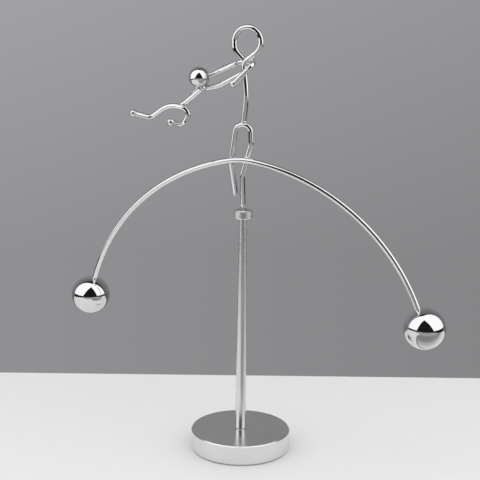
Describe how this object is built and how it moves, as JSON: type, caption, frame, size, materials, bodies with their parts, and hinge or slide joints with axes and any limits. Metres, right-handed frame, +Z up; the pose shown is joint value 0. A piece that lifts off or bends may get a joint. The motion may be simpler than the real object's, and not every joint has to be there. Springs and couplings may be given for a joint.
{
  "type": "counterweight balancing toy",
  "caption": "Desk balancing toy: a bent-wire figure on one point holds a flying figure, kept upright by a long bow with a ball at each end, on a round base with a post.",
  "frame": {"origin": "centre of the base's underside, where it rests on a table", "axes": "+Z up along the post, X along the bow, -Y to the front"},
  "size_m": [0.2746, 0.07, 0.2958],
  "materials": {
    "chrome": "polished chrome plate",
    "satin_base": "turned satin side, polished top",
    "satin_post": "fine satin polish",
    "hard_steel": "ground steel",
    "pad": "matt foam rubber"
  },
  "bodies": {
    "stand": {"base_disc": "satin_base", "base_pad": "pad", "post": "satin_post", "post_screw": "hard_steel", "post_washer": "hard_steel", "pivot_cup": "chrome"},
    "seat": {"pivot_seat": "hard_steel"},
    "point": {"pivot_ball": "hard_steel"},
    "figure": {"stander_legs": "chrome", "stander_body": "chrome", "stander_arms": "chrome", "flyer_arms": "chrome", "flyer_torso": "chrome", "flyer_neck": "chrome", "flyer_legs": "chrome", "flyer_head": "chrome", "bow": "chrome", "weight_left": "chrome", "weight_right": "chrome"}
  },
  "joints": [
    {"name": "spin", "type": "hinge", "parent": "stand", "child": "seat", "pos_m": [0, 0, 0.17118], "axis": [0, 0, 1], "continuous": true},
    {"name": "rock", "type": "hinge", "parent": "seat", "child": "point", "pos_m": [0, 0, 0.17118], "axis": [0, 1, 0], "range_deg": [-25, 25]},
    {"name": "nod", "type": "hinge", "parent": "point", "child": "figure", "pos_m": [0, 0, 0.17118], "axis": [1, 0, 0], "range_deg": [-12, 12]}
  ]
}
